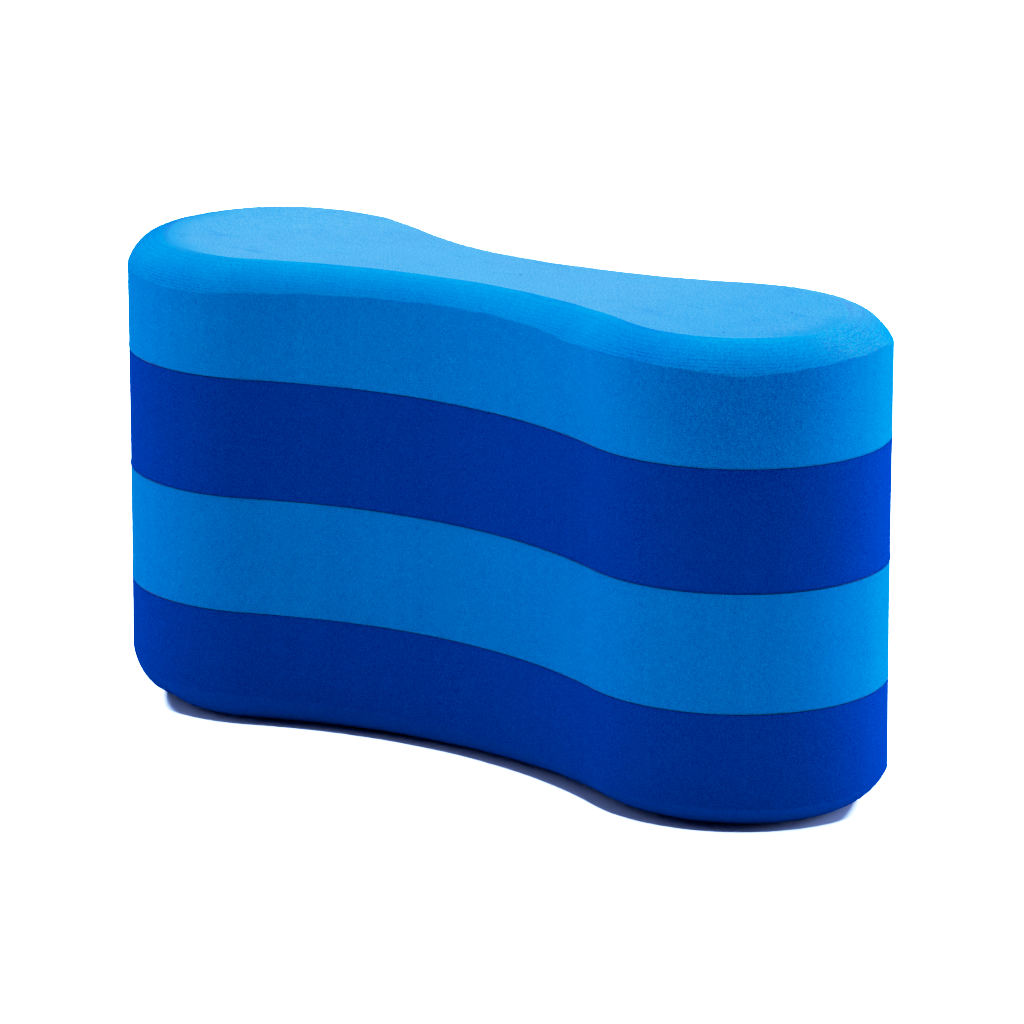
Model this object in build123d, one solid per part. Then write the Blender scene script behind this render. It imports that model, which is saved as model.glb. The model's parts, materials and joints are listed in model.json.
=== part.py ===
from build123d import *
import os
from math import asin, atan2, cos, degrees, radians, sin

# Pull buoy: a leg float of four closed-cell EVA foam sheets, glued face to face, cut to a
# figure-of-eight plan and rounded over round its top and bottom faces.
#
# Millimetres. The origin is the centre of the flat bottom face that the float stands on.
# +X runs through the two lobes, +Y across the waist and +Z up through the stack.

# Plan outline: every stretch is an arc, and neighbouring arcs are tangent.
LENGTH = 235.0          # over the tips of the two lobes
LOBE_WIDTH = 80.0       # across each lobe at its widest
WAIST_WIDTH = 47.0      # across the middle, between the thigh hollows
TIP_RADIUS = 39.0       # arc round the tip of a lobe
FLANK_RADIUS = 43.5     # slightly flatter arc down the side of a lobe

# Foam sheets from the floor up, and the contact adhesive between them.
FOAM_SHEETS = (
    ("bottom_foam_layer", 31.3),
    ("lower_middle_foam_layer", 31.6),
    ("upper_middle_foam_layer", 32.4),
    ("top_foam_layer", 31.3),
)
GLUE_FILMS = ("lower_glue_film", "middle_glue_film", "upper_glue_film")
GLUE_THICKNESS = 0.3
GLUE_INSET = 0.3        # the film stops short of the foam wall and leaves a fine groove

# Edge rounding: an arc tangent to the flat face, which meets the wall at a crease.
EDGE_INSET = 9.5        # in from the wall, along the flat face
EDGE_DROP = 6.5         # down the wall, from the flat face to the crease
CUTTER_MARGIN = 3.0     # how far the cutting section stands outside the foam

# Centres, angles and the waist radius that make the arcs tangent. The centres are those of
# the arcs in the +X, +Y quarter.
tip_centre = Vector(LENGTH / 2 - TIP_RADIUS, 0)
tip_angle = degrees(asin((FLANK_RADIUS - LOBE_WIDTH / 2) / (FLANK_RADIUS - TIP_RADIUS)))
tip_direction = Vector(cos(radians(tip_angle)), sin(radians(tip_angle)))
flank_centre = tip_centre - tip_direction * (FLANK_RADIUS - TIP_RADIUS)
waist_reach = WAIST_WIDTH / 2 - flank_centre.Y
waist_radius = (flank_centre.X**2 + waist_reach**2 - FLANK_RADIUS**2) / (2 * (FLANK_RADIUS - waist_reach))
waist_centre = Vector(0, WAIST_WIDTH / 2 + waist_radius)
flank_to_waist = waist_centre - flank_centre
flank_end_angle = degrees(atan2(flank_to_waist.Y, flank_to_waist.X))
edge_radius = (EDGE_INSET**2 + EDGE_DROP**2) / (2 * EDGE_DROP)


def plan_outline(inset=0.0):
    """The figure-of-eight outline as one closed wire, moved inwards by inset."""
    tip_sweep = 2 * tip_angle
    flank_sweep = flank_end_angle - tip_angle
    waist_sweep = 2 * flank_end_angle - 180
    arcs = []
    for turn in (0, 180):
        def placed(centre):
            return centre.rotate(Axis.Z, turn)

        mirrored_flank = Vector(flank_centre.X, -flank_centre.Y)
        arcs += [
            CenterArc(placed(tip_centre), TIP_RADIUS - inset, turn - tip_angle, tip_sweep),
            CenterArc(placed(flank_centre), FLANK_RADIUS - inset, turn + tip_angle, flank_sweep),
            CenterArc(placed(waist_centre), waist_radius + inset, turn - flank_end_angle, waist_sweep),
            CenterArc(placed(mirrored_flank), FLANK_RADIUS - inset, turn - flank_end_angle, flank_sweep),
        ]
    return Wire(arcs)


def edge_cutter():
    """Ring that rounds over the edge of a flat face lying at z = 0, with the foam below it."""
    wall = LENGTH / 2
    shoulder = (wall - EDGE_INSET, 0)
    crease = (wall, -EDGE_DROP)
    outside = Polyline(
        crease,
        (wall + CUTTER_MARGIN, -EDGE_DROP),
        (wall + CUTTER_MARGIN, CUTTER_MARGIN),
        (wall - EDGE_INSET, CUTTER_MARGIN),
        shoulder,
    )
    section = make_face(Curve() + [RadiusArc(shoulder, crease, edge_radius), outside])
    return sweep(Plane.XZ * section, path=plan_outline())


def slab(floor, thickness, inset=0.0):
    """Flat slab of the plan outline, standing on the height floor."""
    return extrude(Pos(0, 0, floor) * make_face(plan_outline(inset)), thickness)


def build_layers():
    """Every foam sheet and glue film by name, stacked from z = 0."""
    layers = {}
    height = 0.0
    for index, (name, thickness) in enumerate(FOAM_SHEETS):
        layers[name] = slab(height, thickness)
        height += thickness
        if index < len(GLUE_FILMS):
            layers[GLUE_FILMS[index]] = slab(height, GLUE_THICKNESS, GLUE_INSET)
            height += GLUE_THICKNESS
    cutter = edge_cutter()
    layers["top_foam_layer"] -= Pos(0, 0, height) * cutter
    layers["bottom_foam_layer"] -= mirror(cutter, Plane.XY)
    return layers


os.makedirs("parts", exist_ok=True)
for name, layer in build_layers().items():
    export_step(layer, f"parts/{name}.step")
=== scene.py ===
import json
import math

import bpy
import numpy as np
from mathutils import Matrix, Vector, noise


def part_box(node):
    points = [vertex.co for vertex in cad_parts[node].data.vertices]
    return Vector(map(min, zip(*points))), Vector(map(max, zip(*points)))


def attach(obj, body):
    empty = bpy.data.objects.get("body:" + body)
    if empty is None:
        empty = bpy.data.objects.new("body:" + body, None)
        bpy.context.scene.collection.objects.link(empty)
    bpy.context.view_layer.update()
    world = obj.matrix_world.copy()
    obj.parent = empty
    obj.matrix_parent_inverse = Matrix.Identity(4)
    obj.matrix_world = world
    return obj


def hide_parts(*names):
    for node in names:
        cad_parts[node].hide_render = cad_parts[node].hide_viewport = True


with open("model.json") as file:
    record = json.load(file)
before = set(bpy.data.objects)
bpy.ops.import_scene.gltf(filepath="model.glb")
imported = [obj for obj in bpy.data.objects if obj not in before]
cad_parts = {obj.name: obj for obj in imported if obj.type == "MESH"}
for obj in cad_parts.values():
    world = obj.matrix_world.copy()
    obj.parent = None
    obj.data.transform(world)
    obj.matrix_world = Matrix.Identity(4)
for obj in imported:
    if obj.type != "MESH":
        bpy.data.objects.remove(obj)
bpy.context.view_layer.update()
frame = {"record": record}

# Everything is in metres, in the frame's axes: +X through the lobes, +Y across the waist, +Z up.
MM = 0.001
LENGTH, LOBE_WIDTH, HEIGHT = frame["record"]["size"]["bbox_m"]

# Plan outline, as in the CAD: tangent arcs round each tip, down each flank and across the waist.
TIP_RADIUS = 39.0 * MM
FLANK_RADIUS = 43.5 * MM
WAIST_WIDTH = 47.0 * MM

# Edge rounding. The cutter was guided by hand, so its depth down the wall and its reach over the
# flat face wander: each wave is (cycles round the outline, height, place of its crest in turns).
EDGE_DROP = 6.5 * MM
EDGE_INSET = 9.5 * MM
TOP_DROP_WAVES = ((1, 1.5 * MM, 0.50), (3, 1.0 * MM, 0.25), (29, 0.1 * MM, 0.0), (47, 0.06 * MM, 0.0))
BOTTOM_DROP_WAVES = ((1, 1.5 * MM, 0.60), (3, 0.5 * MM, 0.25), (31, 0.1 * MM, 0.0))
INSET_WAVES = ((1, 1.5 * MM, 0.00), (2, 1.0 * MM, 0.45), (4, 0.5 * MM, 0.05), (37, 0.08 * MM, 0.0))
# Places where the hand slipped: (where in turns, how wide in turns, how much).
TOP_DROP_SLIPS = (
    (0.050, 0.025, 3.0 * MM), (0.602, 0.007, 0.5 * MM), (0.620, 0.015, 0.6 * MM),
    (0.833, 0.020, 0.8 * MM), (0.882, 0.022, -0.4 * MM), (0.938, 0.020, 1.3 * MM),
)
BOTTOM_DROP_SLIPS = ((0.545, 0.030, 3.0 * MM), (0.030, 0.040, 1.9 * MM))
TOP_INSET_SLIPS = (
    (0.340, 0.045, -3.6 * MM), (0.480, 0.035, 2.4 * MM), (0.545, 0.035, 2.5 * MM), (0.810, 0.060, -0.4 * MM),
)
BOTTOM_INSET_SLIPS = ((0.540, 0.030, 1.1 * MM), (0.588, 0.020, 5.0 * MM), (0.970, 0.060, -2.6 * MM))
# The rounding's tilt from level just above the crease, a little steeper round the two tips.
STEEPEST_EDGE = math.radians(78)
STEEPEST_SLIPS = ((0.50, 0.055, math.radians(4)), (0.00, 0.03, math.radians(4)))
# Where the skin thins out before its outer line, and where painted sheen spreads from the skin onto the
# rounded edge: from, to and fading distance in turns.
THIN_RIMS = ((0.495, 0.585, 0.045), (0.975, 1.015, 0.03))
SHEEN_RIM = (0.06, 0.41, 0.06)
PASS_PITCH = 0.75 * MM       # height between two passes of the cutter
SKIN_STEP = 0.06 * MM        # the moulded skin stands this much above the cut edge beside it
NO_EDGE = 100 * MM           # distance given to foam that has no rounded edge near it

# How far the walls are drawn in at mid height, and the swells of cut walls and moulded faces:
# (height, size across).
CUT_WAIST = 0.22 * MM
CUT_SWELLS = ((0.10 * MM, 16 * MM), (0.05 * MM, 6 * MM))
SKIN_SWELLS = ((0.22 * MM, 38 * MM), (0.05 * MM, 9 * MM))
UPRIGHT_STRETCH = 0.12       # swells of a cut wall run up and down it

# Glued seams
SEAM_ROUNDING = 0.12 * MM    # foam edge on each side of a seam
GLUE_INSET = 0.22 * MM       # mean depth of the dried glue behind the wall
GLUE_WANDER = 0.14 * MM      # how much that depth varies
GLUE_WANDER_LENGTH = 1.7 * MM
GLUE_ROUNDING = 0.10 * MM    # how far the rim of the glue bulges out

# Mesh density
STATIONS = 720               # round the outline, a multiple of 4
FLAT_ROWS = 38               # over a moulded face, from the spine to the skin's outer line
FLAT_CROWDING = 1.3          # above 1, the rows lie closer together towards the outer line
EDGE_ROWS = 26               # down a rounded edge
WALL_ROWS = 30
GLUED_REACHES = (1.0, 0.6, 0.25, 0.0)   # rows over a glued face, from the spine (1) to the wall (0)


# ---------------------------------------------------------------- plan outline

def quarter_outline(steps):
    """Points and outward normals from the +X tip to the middle of the +Y waist, evenly spaced."""
    half_length, half_lobe, half_waist = LENGTH / 2, LOBE_WIDTH / 2, WAIST_WIDTH / 2
    slack = FLANK_RADIUS - TIP_RADIUS
    tip_angle = math.asin((FLANK_RADIUS - half_lobe) / slack)
    tip = np.array([half_length - TIP_RADIUS, 0.0])
    flank = tip - slack * np.array([math.cos(tip_angle), math.sin(tip_angle)])
    reach = half_waist - flank[1]
    waist_radius = (flank[0]**2 + reach**2 - FLANK_RADIUS**2) / (2 * (FLANK_RADIUS - reach))
    waist = np.array([0.0, half_waist + waist_radius])
    flank_angle = math.atan2(waist[1] - flank[1], waist[0] - flank[0])
    arcs = (
        (tip, TIP_RADIUS, 0.0, tip_angle),
        (flank, FLANK_RADIUS, tip_angle, flank_angle),
        (waist, waist_radius, flank_angle - math.pi, -math.pi / 2),
    )
    lengths = [radius * abs(end - start) for _, radius, start, end in arcs]
    along = np.linspace(0, sum(lengths), steps + 1)
    points, normals = np.zeros((steps + 1, 2)), np.zeros((steps + 1, 2))
    begun = 0.0
    for (centre, radius, start, end), length in zip(arcs, lengths):
        here = along >= begun - 1e-12
        angle = start + (end - start) * (along[here] - begun) / length
        out = np.stack([np.cos(angle), np.sin(angle)], 1)
        points[here] = centre + radius * out
        normals[here] = out if end > start else -out
        begun += length
    return points, normals


def full_outline():
    """The quarter mirrored into the closed outline, counterclockwise from the +X tip."""
    sides = []
    for quarter in quarter_outline(STATIONS // 4):
        half = np.concatenate([quarter, quarter[-2::-1] * (-1, 1)])
        sides.append(np.concatenate([half, half[-2:0:-1] * (1, -1)]))
    return sides


OUTLINE, NORMALS = full_outline()
TURN = np.arange(STATIONS) / STATIONS
SPINE = np.stack([OUTLINE[:, 0] * (LENGTH / 2 - TIP_RADIUS) / (LENGTH / 2), np.zeros(STATIONS)], 1)


def wander(base, waves, slips=()):
    """A length that varies round the outline, one value for each station."""
    length = base + sum(size * np.cos(2 * np.pi * cycles * (TURN - crest)) for cycles, size, crest in waves)
    for place, width, size in slips:
        away = (TURN - place + 0.5) % 1.0 - 0.5
        length = length + size * np.exp(-(away / width)**2)
    return length


def stretch_of_rim(start, end, fade):
    """1 between two places on the outline, falling to 0 over the fading distance beyond them."""
    middle, half = (start + end) / 2, (end - start) / 2
    beyond = np.abs((TURN - middle + 0.5) % 1.0 - 0.5) - half
    share = np.clip(1 - beyond / fade, 0, 1)
    return share * share * (3 - 2 * share)


# ---------------------------------------------------------------- layer meshes

class Rows:
    """Rings of points, each one value for each station: how far in from the wall, how far on
    towards the spine (0 to 1), how far from the end face, and the surface's tilt from level."""

    def __init__(self):
        self.inset, self.reach, self.depth, self.tilt = [], [], [], []

    def add(self, inset, depth, tilt, reach=0.0):
        one = np.ones(STATIONS)
        self.inset.append(inset * one)
        self.reach.append(reach * one)
        self.depth.append(depth * one)
        self.tilt.append(tilt * one)


def rounded_end(drop, inset):
    """From the spine over the flat face and down the rounded edge to the crease."""
    rows = Rows()
    for reach in np.linspace(1, 0, FLAT_ROWS):
        rows.add(inset, 0.0, 0.0, reach**FLAT_CROWDING)
    steepest = wander(STEEPEST_EDGE, (), STEEPEST_SLIPS)
    last_tilt = np.minimum(2 * np.arctan2(drop, inset), steepest)
    first_tilt = 2 * np.arctan2(drop, inset) - last_tilt
    radius = drop / (np.cos(first_tilt) - np.cos(last_tilt))
    for share in np.linspace(0, 1, EDGE_ROWS)[1:]:
        tilt = first_tilt + (last_tilt - first_tilt) * share
        run = radius * (np.sin(tilt) - np.sin(first_tilt))
        rise = radius * (np.cos(first_tilt) - np.cos(tilt))
        step = SKIN_STEP * min(1.0, share * 6) * (1 - share)
        rows.add(inset - run, rise + step, tilt)
    return rows


def seam_end():
    """From the spine over the glued face to the wall, round a tiny foam edge."""
    rows = Rows()
    for reach in GLUED_REACHES:
        rows.add(SEAM_ROUNDING, 0.0, 0.0, reach)
    for tilt in np.radians((25, 50, 75, 90)):
        rows.add(SEAM_ROUNDING * (1 - math.sin(tilt)), SEAM_ROUNDING * (1 - math.cos(tilt)), tilt)
    return rows


def layer_points(low, high, bottom, top):
    """Every point, normal and edge distance of a layer between two heights, as rows by stations."""
    wall = np.linspace(0, 1, WALL_ROWS + 2)[1:-1, None]
    wall = 0.5 - 0.5 * np.cos(np.pi * wall)
    under, over = low + bottom.depth[-1], high - top.depth[-1]
    blank = np.zeros((WALL_ROWS, STATIONS))
    height = np.concatenate([low + np.array(bottom.depth), under + (over - under) * wall,
                             high - np.array(top.depth)[::-1]])
    inset = np.concatenate([bottom.inset, blank, top.inset[::-1]])
    reach = np.concatenate([bottom.reach, blank, top.reach[::-1]])
    tilt = np.concatenate([np.pi - np.array(bottom.tilt), blank + np.pi / 2, top.tilt[::-1]])
    flat = OUTLINE[None] - NORMALS[None] * inset[..., None]
    flat = flat + (SPINE[None] - flat) * reach[..., None]
    points = np.concatenate([flat, height[..., None]], 2)
    normals = np.concatenate([NORMALS[None] * np.sin(tilt)[..., None], np.cos(tilt)[..., None]], 2)
    return points, normals


def edge_distances(points):
    """Distance along the surface past the skin's outer line, and past the crease, for each point
    of a layer whose first row is the spine of its moulded face."""
    step = np.linalg.norm(np.diff(points, axis=0), axis=2)
    along = np.concatenate([np.zeros((1, STATIONS)), np.cumsum(step, 0)])
    skin_row = FLAT_ROWS - 1
    crease_row = skin_row + EDGE_ROWS - 1
    return along - along[skin_row], along - along[crease_row]


def grid_mesh(name, points, values):
    """Closed mesh of rows by stations, whose first and last rows are zipped shut on the spine."""
    rows = len(points)
    index = np.arange(rows * STATIONS).reshape(rows, STATIONS)
    station = np.arange(STATIONS)
    mirrored = np.minimum(station, (STATIONS - station) % STATIONS)
    for row in (0, -1):
        index[row] = index[row][mirrored]
    after = np.roll(index, -1, 1)
    quads = np.stack([index[:-1], after[:-1], after[1:], index[1:]], 2).reshape(-1, 4)
    used, quads = np.unique(quads, return_inverse=True)
    mesh = bpy.data.meshes.new(name)
    mesh.from_pydata(points.reshape(-1, 3)[used], [], quads.reshape(-1, 4).tolist())
    mesh.polygons.foreach_set("use_smooth", [True] * len(mesh.polygons))
    for key, value in values.items():
        layer = mesh.attributes.new(key, "FLOAT", "POINT")
        layer.data.foreach_set("value", value.reshape(-1)[used].astype(np.float32))
    piece = bpy.data.objects.new(name, mesh)
    bpy.context.collection.objects.link(piece)
    return piece


def smooth_noise(points, size):
    """Perlin noise of features about size across, one value for each point."""
    flat = points.reshape(-1, 3) / size
    return np.array([noise.noise(Vector(p)) for p in flat]).reshape(points.shape[:-1])


def swells(points, sizes):
    return sum(height * smooth_noise(points, across) for height, across in sizes)


def foam_surface(points, normals):
    """The points moved by what knife and foam do: cutting waves, a slight waist and uneven skin."""
    level = np.abs(normals[..., 2])
    waist = -CUT_WAIST * np.sin(np.pi * points[..., 2] / HEIGHT)
    cut = waist + swells(points * (1, 1, UPRIGHT_STRETCH), CUT_SWELLS)
    move = cut * (1 - level) + swells(points, SKIN_SWELLS) * level
    return points + normals * move[..., None]


def foam_layer(node, cut, skin=None, rounded=None):
    """One foam sheet in the place of its CAD node. rounded is 'top', 'bottom' or None."""
    low, high = (corner.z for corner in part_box(node))
    bottom = top = seam_end()
    if rounded == "top":
        drop = wander(EDGE_DROP, TOP_DROP_WAVES, TOP_DROP_SLIPS)
        top = rounded_end(drop, wander(EDGE_INSET, INSET_WAVES, TOP_INSET_SLIPS))
    if rounded == "bottom":
        drop = wander(EDGE_DROP, BOTTOM_DROP_WAVES, BOTTOM_DROP_SLIPS)
        bottom = rounded_end(drop, wander(EDGE_INSET, INSET_WAVES, BOTTOM_INSET_SLIPS))
    points, normals = layer_points(low, high, bottom, top)
    rows = len(points)
    past_skin = past_crease = np.full((rows, STATIONS), NO_EDGE)
    if rounded == "top":
        past_skin, past_crease = edge_distances(points[::-1])
        past_skin, past_crease = past_skin[::-1], past_crease[::-1]
    if rounded == "bottom":
        past_skin, past_crease = edge_distances(points)
    moved = foam_surface(points, normals)
    glued_rows = len(GLUED_REACHES)
    if rounded != "bottom":
        moved[:glued_rows] = points[:glued_rows]
    if rounded != "top":
        moved[-glued_rows:] = points[-glued_rows:]
    moved[..., 2] = np.maximum(moved[..., 2], 0)
    values = {
        "past_skin": past_skin,
        "past_crease": past_crease,
        "thin_rim": np.tile(sum(stretch_of_rim(*rim) for rim in THIN_RIMS), (rows, 1)),
        "sheen_on_back": np.tile(stretch_of_rim(*SHEEN_RIM), (rows, 1)),
    }
    piece = grid_mesh(node.replace("_layer", "_sheet"), moved, values)
    piece.data.materials.append(cut)
    if rounded:
        piece.data.materials.append(skin)
        face = np.arange(len(piece.data.polygons))
        if rounded == "top":
            face = face[::-1]
        skinned = face < (FLAT_ROWS - 1) * STATIONS
        piece.data.polygons.foreach_set("material_index", skinned.astype(int))
    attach(piece, "root")
    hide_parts(node)
    return piece


def glue_line(node, material):
    """The dried glue in a seam: a thin film whose rim wanders behind the foam wall."""
    low, high = (corner.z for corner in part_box(node))
    outline = np.pad(OUTLINE, ((0, 0), (0, 1))) + (0, 0, low)
    rim = GLUE_INSET + GLUE_WANDER * smooth_noise(outline, GLUE_WANDER_LENGTH)
    rows = Rows()
    for reach in (1.0, 0.5, 0.0):
        rows.add(rim + GLUE_ROUNDING, 0.0, 0.0, reach)
    for tilt in np.radians((30, 60, 90)):
        rows.add(rim + GLUE_ROUNDING * (1 - math.sin(tilt)), (high - low) / 2 * (1 - math.cos(tilt)), tilt)
    height = np.concatenate([low + np.array(rows.depth), (high - np.array(rows.depth))[-2::-1]])
    inset = np.concatenate([rows.inset, rows.inset[-2::-1]])
    reach = np.concatenate([rows.reach, rows.reach[-2::-1]])
    flat = OUTLINE[None] - NORMALS[None] * inset[..., None]
    flat = flat + (SPINE[None] - flat) * reach[..., None]
    piece = grid_mesh(node.replace("_film", "_line"), np.concatenate([flat, height[..., None]], 2), {})
    piece.data.materials.append(material)
    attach(piece, "root")
    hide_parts(node)
    return piece


# ---------------------------------------------------------------- materials

class Graph:
    """A node material under construction. Most methods return the new node's output."""

    def __init__(self, name):
        self.material = bpy.data.materials.new(name)
        self.material.use_nodes = True
        self.tree = self.material.node_tree
        self.shader = self.tree.nodes["Principled BSDF"]

    def feed(self, node, inputs):
        for key, value in inputs.items():
            if isinstance(value, bpy.types.NodeSocket):
                self.tree.links.new(value, node.inputs[key])
            else:
                node.inputs[key].default_value = value

    def add(self, kind, inputs, output=0, **settings):
        node = self.tree.nodes.new(kind)
        for key, value in settings.items():
            setattr(node, key, value)
        self.feed(node, inputs)
        return node.outputs[output]

    def place(self, stretch=(1, 1, 1)):
        where = self.add("ShaderNodeTexCoord", {}, output="Object")
        return self.add("ShaderNodeVectorMath", {0: where, 1: stretch}, operation="MULTIPLY")

    def attribute(self, name):
        return self.add("ShaderNodeAttribute", {}, output="Fac", attribute_name=name)

    def math(self, operation, *values):
        return self.add("ShaderNodeMath", dict(enumerate(values)), operation=operation)

    def product(self, first, *others):
        for other in others:
            first = self.math("MULTIPLY", first, other)
        return first

    def total(self, first, *others):
        for other in others:
            first = self.math("ADD", first, other)
        return first

    def noise(self, size, stretch=(1, 1, 1), detail=2.0, roughness=0.5):
        """Cloudy noise from 0 to 1 with features about size across, longer where stretch is small."""
        inputs = {"Vector": self.place(stretch), "Scale": 1 / size, "Detail": detail, "Roughness": roughness}
        return self.add("ShaderNodeTexNoise", inputs)

    def sway(self, value, amount):
        """A value from 0 to 1 turned into one about 0, amount from end to end."""
        return self.add("ShaderNodeMath", {0: value, 1: amount, 2: -amount / 2}, operation="MULTIPLY_ADD")

    def ramp(self, value, start, end, low=0.0, high=1.0):
        inputs = {"Value": value, "From Min": start, "From Max": end, "To Min": low, "To Max": high}
        return self.add("ShaderNodeMapRange", inputs, interpolation_type="SMOOTHSTEP")

    def patch(self, centre, radius):
        """1 in the middle of a round patch of the surface, falling to 0 at its rim."""
        inputs = {0: self.place(), 1: centre}
        away = self.add("ShaderNodeVectorMath", inputs, output="Value", operation="DISTANCE")
        return self.ramp(away, radius, radius * 0.3)

    def patches(self, places, base):
        """base, changed in each of the places: (centre, radius, change)."""
        for centre, radius, change in places:
            base = self.total(self.product(self.patch(centre, radius), change), base)
        return base

    def mix(self, factor, first, second):
        node = self.tree.nodes.new("ShaderNodeMix")
        node.data_type = "RGBA"
        self.feed(node, {0: factor, 6: first, 7: second})
        return node.outputs[2]

    def shade(self, colour, change, blue_share):
        """colour made lighter or darker by a change about 0, its blue by only a share of that."""
        green = self.math("ADD", change, 1.0)
        blue = self.add("ShaderNodeMath", {0: change, 1: blue_share, 2: 1.0}, operation="MULTIPLY_ADD")
        factor = self.add("ShaderNodeCombineXYZ", {0: green, 1: green, 2: blue})
        return self.add("ShaderNodeVectorMath", {0: colour[:3], 1: factor}, operation="MULTIPLY")

    def bump(self, height, strength, distance):
        return self.add("ShaderNodeBump", {"Strength": strength, "Distance": distance, "Height": height})

    def finish(self, **inputs):
        self.feed(self.shader, {key.replace("_", " "): value for key, value in inputs.items()})
        return self.material


# Colours. The chalky one is that of a dry scuff.
WHITE = (1, 1, 1, 1)
LIGHT_BLUE = (0.0, 0.121, 0.447, 1)
# Painted shade: the lower light blue sheet is a little darker, as less light falls on it low down.
SHADED_LOWER_LIGHT_BLUE = (0.0, 0.114, 0.428, 1)
LIGHT_CHALK = (0.10, 0.24, 0.50, 1)
LIGHT_SKIN = (0.0, 0.1375, 0.471, 1)
LIGHT_WORN_SKIN = (0.0, 0.135, 0.455, 1)
LIGHT_PIT = (0.0, 0.06, 0.25, 1)
ROYAL_BLUE = (0.0, 0.0243, 0.234, 1)
ROYAL_CHALK = (0.03, 0.07, 0.28, 1)
ROYAL_SKIN = (0.0, 0.0255, 0.235, 1)
ROYAL_PIT = (0.0, 0.01, 0.12, 1)
DARK_GLUE = (0.0, 0.010, 0.045, 1)
PALE_GLUE = (0.0, 0.035, 0.11, 1)
# How much the cells of cut foam differ in brightness. The dark royal foam needs more to show.
LIGHT_GRAIN = 1.35
ROYAL_GRAIN = 2.1

# Marked places: centre and radius, and then, in the lists, the change in brightness.
TORN = ((0.44 * LENGTH, -0.40 * LOBE_WIDTH, 0.92 * HEIGHT), 42 * MM)
# Painted shade on the wall just below the crease, at the front of the +X lobe.
WALL_SHADE_PATCH = ((0.42 * LENGTH, -0.40 * LOBE_WIDTH, 0.90 * HEIGHT), 32 * MM)
SCUFFED = ((0.48 * LENGTH, 0.02 * LOBE_WIDTH, 0.98 * HEIGHT), 18 * MM)
# Centre and radius of the painted sheen on the skin, strongest in this patch.
SHEEN_PATCH = ((-0.07 * LENGTH, 0.0, HEIGHT), 125 * MM)
DARK_LINES = (
    ((0.37 * LENGTH, -0.49 * LOBE_WIDTH, HEIGHT), 40 * MM, -0.36),
    ((-0.39 * LENGTH, -0.46 * LOBE_WIDTH, HEIGHT), 40 * MM, -0.42),
)
# Painted light on the rounded edge: paler all round, and lighter or darker still in these places.
EDGE_LIGHT_PATCHES = (
    ((-0.19 * LENGTH, -0.41 * LOBE_WIDTH, HEIGHT), 38 * MM, 0.17),
    ((0.28 * LENGTH, -0.49 * LOBE_WIDTH, HEIGHT), 24 * MM, -0.17),
    ((0.50 * LENGTH, 0.10 * LOBE_WIDTH, HEIGHT), 34 * MM, 0.05),
    ((0.48 * LENGTH, 0.32 * LOBE_WIDTH, HEIGHT), 32 * MM, -0.20),
    ((0.43 * LENGTH, -0.39 * LOBE_WIDTH, HEIGHT), 22 * MM, 0.08),
    ((0.17 * LENGTH, -0.39 * LOBE_WIDTH, HEIGHT), 16 * MM, -0.08),
    ((-0.50 * LENGTH, 0.0, HEIGHT), 44 * MM, -0.32),
)


def cutter_lines(g, past_crease, on_edge, along):
    """Level lines at the cutter's pitch: faint everywhere, with broken dark ones above the crease."""
    height = g.add("ShaderNodeSeparateXYZ", {0: g.place()}, output="Z")
    passes = g.total(g.product(height, 1 / PASS_PITCH), g.sway(along, 1.2))
    line = g.ramp(g.math("PINGPONG", passes, 0.5), 0.22, 0.02)
    broken = g.ramp(g.noise(1.0 * MM, detail=1.0), 0.40, 0.60)
    near_crease = g.product(on_edge, g.ramp(past_crease, -6.5 * MM, -1.0 * MM))
    dashes = g.product(broken, near_crease, g.patches(DARK_LINES, -0.08))
    faint = g.total(g.product(on_edge, -0.10), g.ramp(along, 0.40, 0.70, -0.02, -0.07))
    return g.product(line, g.total(dashes, faint))


def painted_edge_light(g, past_crease, on_edge, along):
    """Painted light on the rounded edge, paler all round and in patches, and a painted highlight just above
    the crease.
    """
    # painted highlight: a lighter band on the rounding just above the crease
    painted_highlight = g.product(g.ramp(past_crease, -1.3 * MM, -0.3 * MM), g.ramp(along, 0.35, 0.60, 0.0, 0.07))
    return g.product(on_edge, g.total(g.patches(EDGE_LIGHT_PATCHES, 0.19), painted_highlight))


def painted_wall_shade(g, past_crease):
    """Painted shade on the wall just below the crease."""
    return g.product(g.patch(*WALL_SHADE_PATCH), g.ramp(past_crease, -0.2 * MM, 0.2 * MM), -0.17)


def painted_edge_sheen(g, fine):
    """Share of white mixed in as painted sheen: beside the skin along the back edge, and in rags at the two
    ends.
    """
    past_skin = g.attribute("past_skin")
    sheen_on_back = g.product(g.attribute("sheen_on_back"), g.ramp(past_skin, 11 * MM, 0.0), 0.026)
    sheen_rags = g.total(past_skin, g.sway(g.noise(3.5 * MM, detail=4.0, roughness=0.6), 3.0 * MM))
    sheen_rags = g.product(g.attribute("thin_rim"), g.ramp(sheen_rags, 2.0 * MM, -4.0 * MM), 0.034)
    return g.product(g.total(sheen_on_back, sheen_rags), g.ramp(fine, 0.3, 0.7, 0.5, 1.5))


def dry_scuffs(g, on_edge):
    """Share of chalky specks where the rounded edge was scuffed."""
    specks = g.ramp(g.noise(0.45 * MM, stretch=(1, 1, 1.5), detail=2.0, roughness=0.7), 0.56, 0.64)
    return g.product(g.patch(*SCUFFED), on_edge, specks, 0.42)


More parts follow.
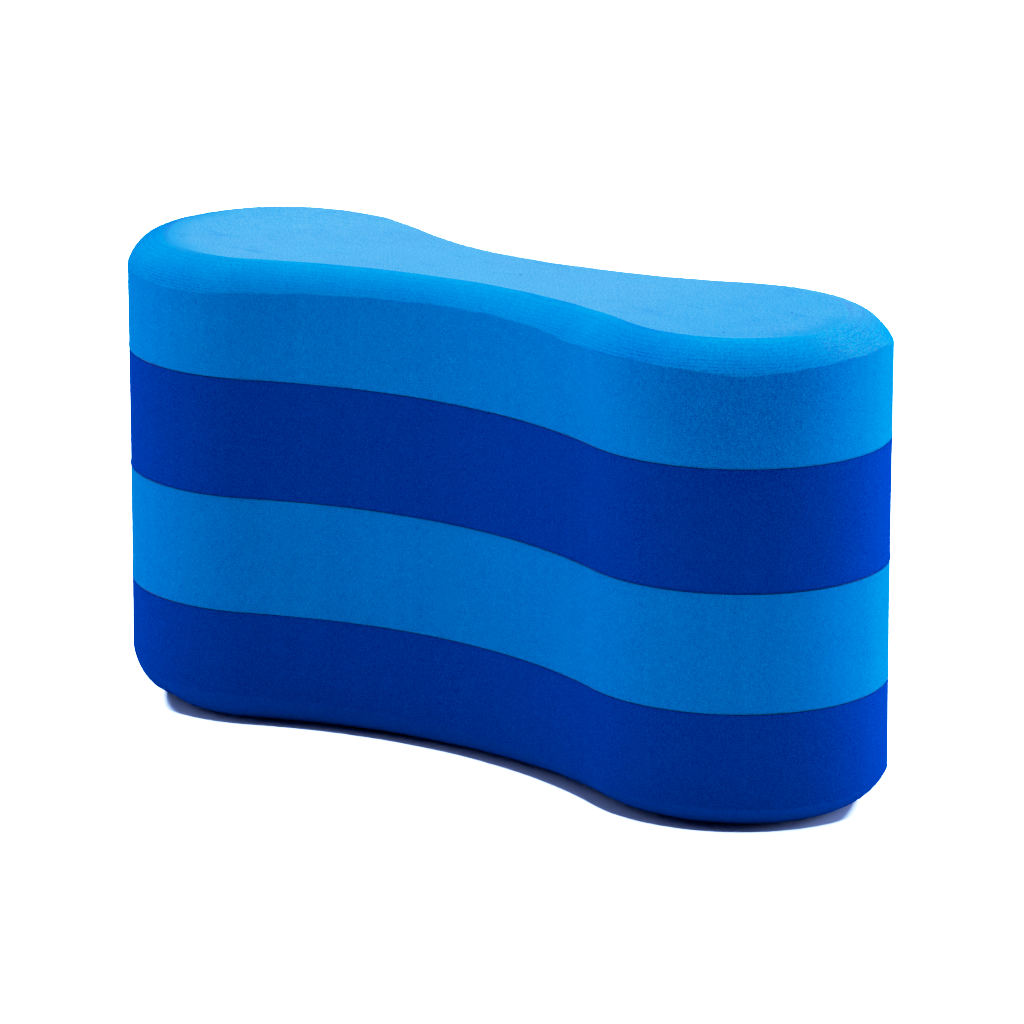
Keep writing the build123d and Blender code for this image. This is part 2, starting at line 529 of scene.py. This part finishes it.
def cut_foam(name, colour, chalk, grain, blue_share):
    """Sawn and sanded closed-cell foam: open grain, cutting lines and scuffs, with painted light on the
    rounded edge, painted shade below the crease and painted sheen beside the skin.
    """
    g = Graph(name)
    past_crease = g.attribute("past_crease")
    on_edge = g.ramp(past_crease, 0.3 * MM, -0.3 * MM)
    along = g.noise(18 * MM, stretch=(1, 1, 3), detail=1.0)

    # The cells: fine everywhere, coarser where the foam is torn.
    fine = g.noise(0.24 * MM, detail=0.0)
    coarse = g.noise(0.55 * MM, stretch=(1, 1, 1.5), detail=1.0)
    torn = g.total(g.product(g.patch(*TORN), 0.65), 0.20)

    grooves = cutter_lines(g, past_crease, on_edge, along)
    clouds = g.noise(26 * MM, detail=3.0)
    bands = g.noise(5 * MM, stretch=(1, 1, 0.03), detail=2.0)
    change = g.total(
        g.sway(fine, grain),
        g.product(g.sway(coarse, grain), torn),
        grooves,
        # painted light on the rounded edge, with a painted highlight just above the crease
        painted_edge_light(g, past_crease, on_edge, along),
        # painted shade on the wall below the crease
        painted_wall_shade(g, past_crease),
        g.sway(clouds, 0.16),
        g.sway(bands, 0.16),
    )
    shaded = g.shade(colour, change, blue_share)
    # painted sheen: white mixed into the colour beside the skin
    shaded = g.mix(painted_edge_sheen(g, fine), shaded, WHITE)
    shaded = g.mix(dry_scuffs(g, on_edge), shaded, chalk)

    relief = g.total(g.product(fine, 0.6), g.product(coarse, torn), grooves)
    normal = g.bump(relief, 0.6, 0.06 * MM)
    roughness = g.ramp(fine, 0.3, 0.7, 0.85, 0.97)
    return g.finish(Base_Color=shaded, Roughness=roughness, Normal=normal, Specular_IOR_Level=0.0)


def burst_bubbles(g):
    """Share of pits: one in some of the cells of a coarse pattern."""
    inputs = {"Vector": g.place(), "Scale": 1 / (9 * MM)}
    bubble = g.add("ShaderNodeTexVoronoi", inputs, output="Distance")
    chance = g.add("ShaderNodeTexVoronoi", inputs, output="Color")
    chance = g.add("ShaderNodeSeparateColor", {0: chance})
    return g.product(g.ramp(bubble, 0.07, 0.04), g.ramp(chance, 0.60, 0.62))


def foam_skin(name, colour, worn_colour, pit_colour):
    """The moulded face of the sheet: closed and smoother, with pits, smears and faint clouds, painted sheen,
    and a painted highlight along its edge.
    """
    g = Graph(name)
    past_skin = g.attribute("past_skin")
    thin_rim = g.attribute("thin_rim")
    fine = g.noise(0.50 * MM, detail=1.0)
    mottle = g.noise(3.5 * MM, detail=4.0, roughness=0.6)
    clouds = g.noise(26 * MM, detail=2.0)
    smears = g.ramp(g.noise(4.0 * MM, stretch=(0.25, 1, 1), detail=3.0), 0.58, 0.72, 0.0, -0.06)

    # The skin thins out towards its outer line at the two ends; elsewhere a painted highlight runs just
    # inside that line.
    ragged = g.total(past_skin, g.sway(mottle, 3.0 * MM), g.sway(fine, 4.0 * MM))
    wear = g.product(thin_rim, g.ramp(ragged, -7.0 * MM, 3.5 * MM))
    # painted highlight just inside the skin's outer line, away from the thin rims
    painted_highlight = g.product(g.ramp(past_skin, -1.1 * MM, -0.2 * MM), g.math("SUBTRACT", 1.0, thin_rim))
    change = g.total(
        g.sway(fine, 0.20),
        g.sway(mottle, 0.16),
        g.sway(clouds, 0.16),
        smears,
        g.product(painted_highlight, 0.07),
    )
    shaded = g.shade(colour, change, 0.5)

    # Painted sheen: white mixed into the skin's colour, grainy and strongest in the middle; and a few burst
    # bubbles.
    sheen_strength = g.ramp(g.patch(*SHEEN_PATCH), 0.0, 1.0, -0.004, 0.011)
    painted_sheen = g.total(
        g.ramp(fine, 0.42, 0.60, 0.0, 0.036),
        sheen_strength,
        g.sway(mottle, 0.008),
        g.product(smears, 0.18),
    )
    shaded = g.mix(painted_sheen, shaded, WHITE)
    shaded = g.mix(wear, shaded, worn_colour)
    pit = burst_bubbles(g)
    shaded = g.mix(pit, shaded, pit_colour)

    relief = g.total(
        g.product(fine, g.ramp(wear, 0.0, 1.0, 0.5, 1.0)),
        g.product(mottle, 0.5),
        g.product(pit, -1.5),
    )
    normal = g.bump(relief, 0.5, 0.05 * MM)
    worn = g.noise(9 * MM, detail=2.0)
    roughness = g.total(g.ramp(worn, 0.3, 0.7, 0.50, 0.57), g.product(wear, 0.35))
    return g.finish(Base_Color=shaded, Roughness=roughness, Normal=normal, Specular_IOR_Level=0.006)


def glue_material():
    """Dried contact adhesive: dark, uneven and a little shiny."""
    g = Graph("dried_glue")
    blotches = g.noise(1.5 * MM, detail=3.0)
    colour = g.mix(blotches, DARK_GLUE, PALE_GLUE)
    roughness = g.ramp(g.noise(0.8 * MM), 0.3, 0.7, 0.4, 0.7)
    normal = g.bump(blotches, 0.4, 0.05 * MM)
    return g.finish(Base_Color=colour, Roughness=roughness, Normal=normal, Specular_IOR_Level=0.03)


# ---------------------------------------------------------------- stage

# The viewpoint of the photograph.
VIEW_AZIMUTH = 37.46         # degrees, from looking along +Y towards looking along -X
VIEW_ELEVATION = 15.26
VIEW_DISTANCE = 1.708
LENS = 225.5                 # millimetres, on a 36 mm sensor
AIM_RIGHT, AIM_DOWN = 3.1 * MM, 2.25 * MM


def view_axes():
    """The camera's backward, right and up directions."""
    a, e = math.radians(VIEW_AZIMUTH), math.radians(VIEW_ELEVATION)
    back = Vector((math.sin(a) * math.cos(e), -math.cos(a) * math.cos(e), math.sin(e)))
    right = Vector((math.cos(a), math.sin(a), 0))
    return back, right, back.cross(right)


def add_camera():
    back, right, up = view_axes()
    data = bpy.data.cameras.new("camera")
    data.lens = LENS
    data.clip_start, data.clip_end = 0.05, 60
    camera = bpy.data.objects.new("camera", data)
    camera.location = Vector((0, 0, HEIGHT / 2)) + back * VIEW_DISTANCE + right * AIM_RIGHT - up * AIM_DOWN
    camera.rotation_euler = back.to_track_quat("Z", "Y").to_euler()
    bpy.context.collection.objects.link(camera)
    bpy.context.scene.camera = camera


# Soft lights: place is right, away and up as the camera sees it, then width, height and watts.
LIGHTS = {
    "overhead_softbox": ((0.0, 0.0, 1.6), (0.8, 0.8), 33),
    "back_softbox": ((0.0, 0.9, 1.4), (1.6, 0.8), 22),
    "upper_left_softbox": ((-1.1, 0.0, 1.2), (1.0, 1.0), 12),
    "left_back_softbox": ((-1.4, 0.8, 0.4), (1.0, 0.7), 19.5),
    "right_softbox": ((1.5, 0.0, 0.4), (1.0, 0.7), 12),
    "right_back_softbox": ((1.4, 0.75, 0.45), (1.0, 0.7), 52),
}
# On the seen floor only: they leave a shadow just in front of the rounded bottom edge, and none
# under its left and right corners.
FLOOR_LIGHTS = {
    "floor_overhead_softbox": ((0.0, 0.0, 6.0), (0.6, 0.6), 9500),
    "floor_left_back_softbox": ((-1.2, 2.8, 0.9), (0.5, 0.5), 9000),
    "floor_right_back_softbox": ((1.5, 2.6, 0.9), (0.5, 0.5), 9000),
}
# Painted bounce light: the seen floor's blue stands in for blue light the foam throws into its shadow.
SEEN_FLOOR_BOUNCE_BLUE = (0.13, 0.19, 0.39)      # lit past white, so its cool blue shows only in shadow
BOUNCE_FLOOR = (0.90, 0.90, 0.90)
FLOOR_SIDE = 14.0
FLOOR_GAP = 0.2 * MM
BACKDROP_RADIUS = 6.5
BACKDROP_HEIGHT = 5.0
BACKDROP_SIDES = 64

# The camera's response, from scene light to picture light: even up to the knee, then a soft
# shoulder that flattens to a gentle slope and ends at full white.
KNEE = 0.5
SHOULDER_SLOPE = 0.2
WHITE_LIGHT = 1.87           # scene light that reaches full white
CURVE_STEPS = 12             # points of the curve, from the knee to full white


def add_light(name, place, size, watts):
    """Rectangular soft light that faces the object."""
    middle = Vector((0, 0, HEIGHT / 2))
    _, right, _ = view_axes()
    away = Vector((-right.y, right.x, 0))
    data = bpy.data.lights.new(name, "AREA")
    data.shape = "RECTANGLE"
    data.size, data.size_y = size
    data.energy = watts
    light = bpy.data.objects.new(name, data)
    light.location = right * place[0] + away * place[1] + Vector((0, 0, place[2]))
    light.rotation_euler = (light.location - middle).to_track_quat("Z", "Y").to_euler()
    bpy.context.collection.objects.link(light)
    return light


def add_stage_piece(name, points, faces, material):
    mesh = bpy.data.meshes.new(name)
    mesh.from_pydata(points, [], faces)
    mesh.materials.append(material)
    piece = bpy.data.objects.new(name, mesh)
    bpy.context.collection.objects.link(piece)
    return piece


def add_floor(name, colour, height):
    g = Graph(name)
    shaded = g.shade(colour, g.sway(g.noise(400 * MM), 0.02), 1.0)
    material = g.finish(Base_Color=shaded, Roughness=0.9, Specular_IOR_Level=0.0)
    half = FLOOR_SIDE / 2
    corners = [(-half, -half, height), (half, -half, height), (half, half, height), (-half, half, height)]
    floor = add_stage_piece(name, corners, [(0, 1, 2, 3)], material)
    floor.visible_shadow = False
    return floor


def add_table():
    """The floor that the camera sees, and just below it the paler one whose light reaches the foam."""
    seen = add_floor("seen_floor", SEEN_FLOOR_BOUNCE_BLUE, 0)
    seen.visible_diffuse = False
    seen.visible_glossy = False
    add_floor("bounce_floor", BOUNCE_FLOOR, -FLOOR_GAP).visible_camera = False
    only_seen = bpy.data.collections.new("lit_by_floor_softbox")
    only_seen.objects.link(seen)
    for name, (place, size, watts) in FLOOR_LIGHTS.items():
        add_light(name, place, size, watts).light_linking.receiver_collection = only_seen


def add_backdrop():
    """White wall all round, far off. It is seen and mirrored, but sheds no light of its own."""
    g = Graph("white_backdrop")
    material = g.finish(Base_Color=(0, 0, 0, 1), Emission_Color=(1, 1, 1, 1), Emission_Strength=2.0)
    material.cycles.emission_sampling = "NONE"
    turns = [2 * math.pi * step / BACKDROP_SIDES for step in range(BACKDROP_SIDES)]
    ring = [(BACKDROP_RADIUS * math.cos(turn), BACKDROP_RADIUS * math.sin(turn)) for turn in turns]
    points = [(x, y, z) for z in (0, BACKDROP_HEIGHT) for x, y in ring]
    faces = []
    for side in range(BACKDROP_SIDES):
        after = (side + 1) % BACKDROP_SIDES
        faces.append((side, after, BACKDROP_SIDES + after, BACKDROP_SIDES + side))
    wall = add_stage_piece("backdrop", points, faces, material)
    wall.visible_diffuse = False
    wall.visible_shadow = False


def response(light):
    """Picture light for a scene light past the knee."""
    past = light - KNEE
    bend = 1 - KNEE - SHOULDER_SLOPE * (WHITE_LIGHT - KNEE)
    return KNEE + SHOULDER_SLOPE * past + bend * (1 - math.exp(-past * (1 - SHOULDER_SLOPE) / bend))


def set_response():
    settings = bpy.context.scene.view_settings
    settings.view_transform = "Standard"
    settings.use_curve_mapping = True
    mapping = settings.curve_mapping
    mapping.white_level = (WHITE_LIGHT, WHITE_LIGHT, WHITE_LIGHT)
    points = mapping.curves[3].points
    points.new(KNEE / 2 / WHITE_LIGHT, KNEE / 2)
    for light in np.linspace(KNEE, WHITE_LIGHT, CURVE_STEPS + 1)[:-1]:
        points.new(light / WHITE_LIGHT, response(light))
    mapping.update()


# ---------------------------------------------------------------- build

add_camera()
add_backdrop()
set_response()
for name, (place, size, watts) in LIGHTS.items():
    add_light(name, place, size, watts)
add_table()
world = bpy.data.worlds.new("studio")
world.color = (0, 0, 0)
bpy.context.scene.world = world

top_cut = cut_foam("top_light_blue_cut_foam", LIGHT_BLUE, LIGHT_CHALK, LIGHT_GRAIN, 0.5)
# painted shade: a darker copy of the light blue cut foam for the lower sheet
shaded_lower_cut = cut_foam("shaded_lower_light_blue_cut_foam", SHADED_LOWER_LIGHT_BLUE, LIGHT_CHALK, LIGHT_GRAIN, 0.5)
royal_cut = cut_foam("royal_blue_cut_foam", ROYAL_BLUE, ROYAL_CHALK, ROYAL_GRAIN, 0.4)
light_skin = foam_skin("light_blue_foam_skin", LIGHT_SKIN, LIGHT_WORN_SKIN, LIGHT_PIT)
royal_skin = foam_skin("royal_blue_foam_skin", ROYAL_SKIN, ROYAL_BLUE, ROYAL_PIT)
glue = glue_material()

foam_layer("bottom_foam_layer", royal_cut, royal_skin, "bottom")
foam_layer("lower_middle_foam_layer", shaded_lower_cut)
foam_layer("upper_middle_foam_layer", royal_cut)
foam_layer("top_foam_layer", top_cut, light_skin, "top")
for film in ("lower_glue_film", "middle_glue_film", "upper_glue_film"):
    glue_line(film, glue)
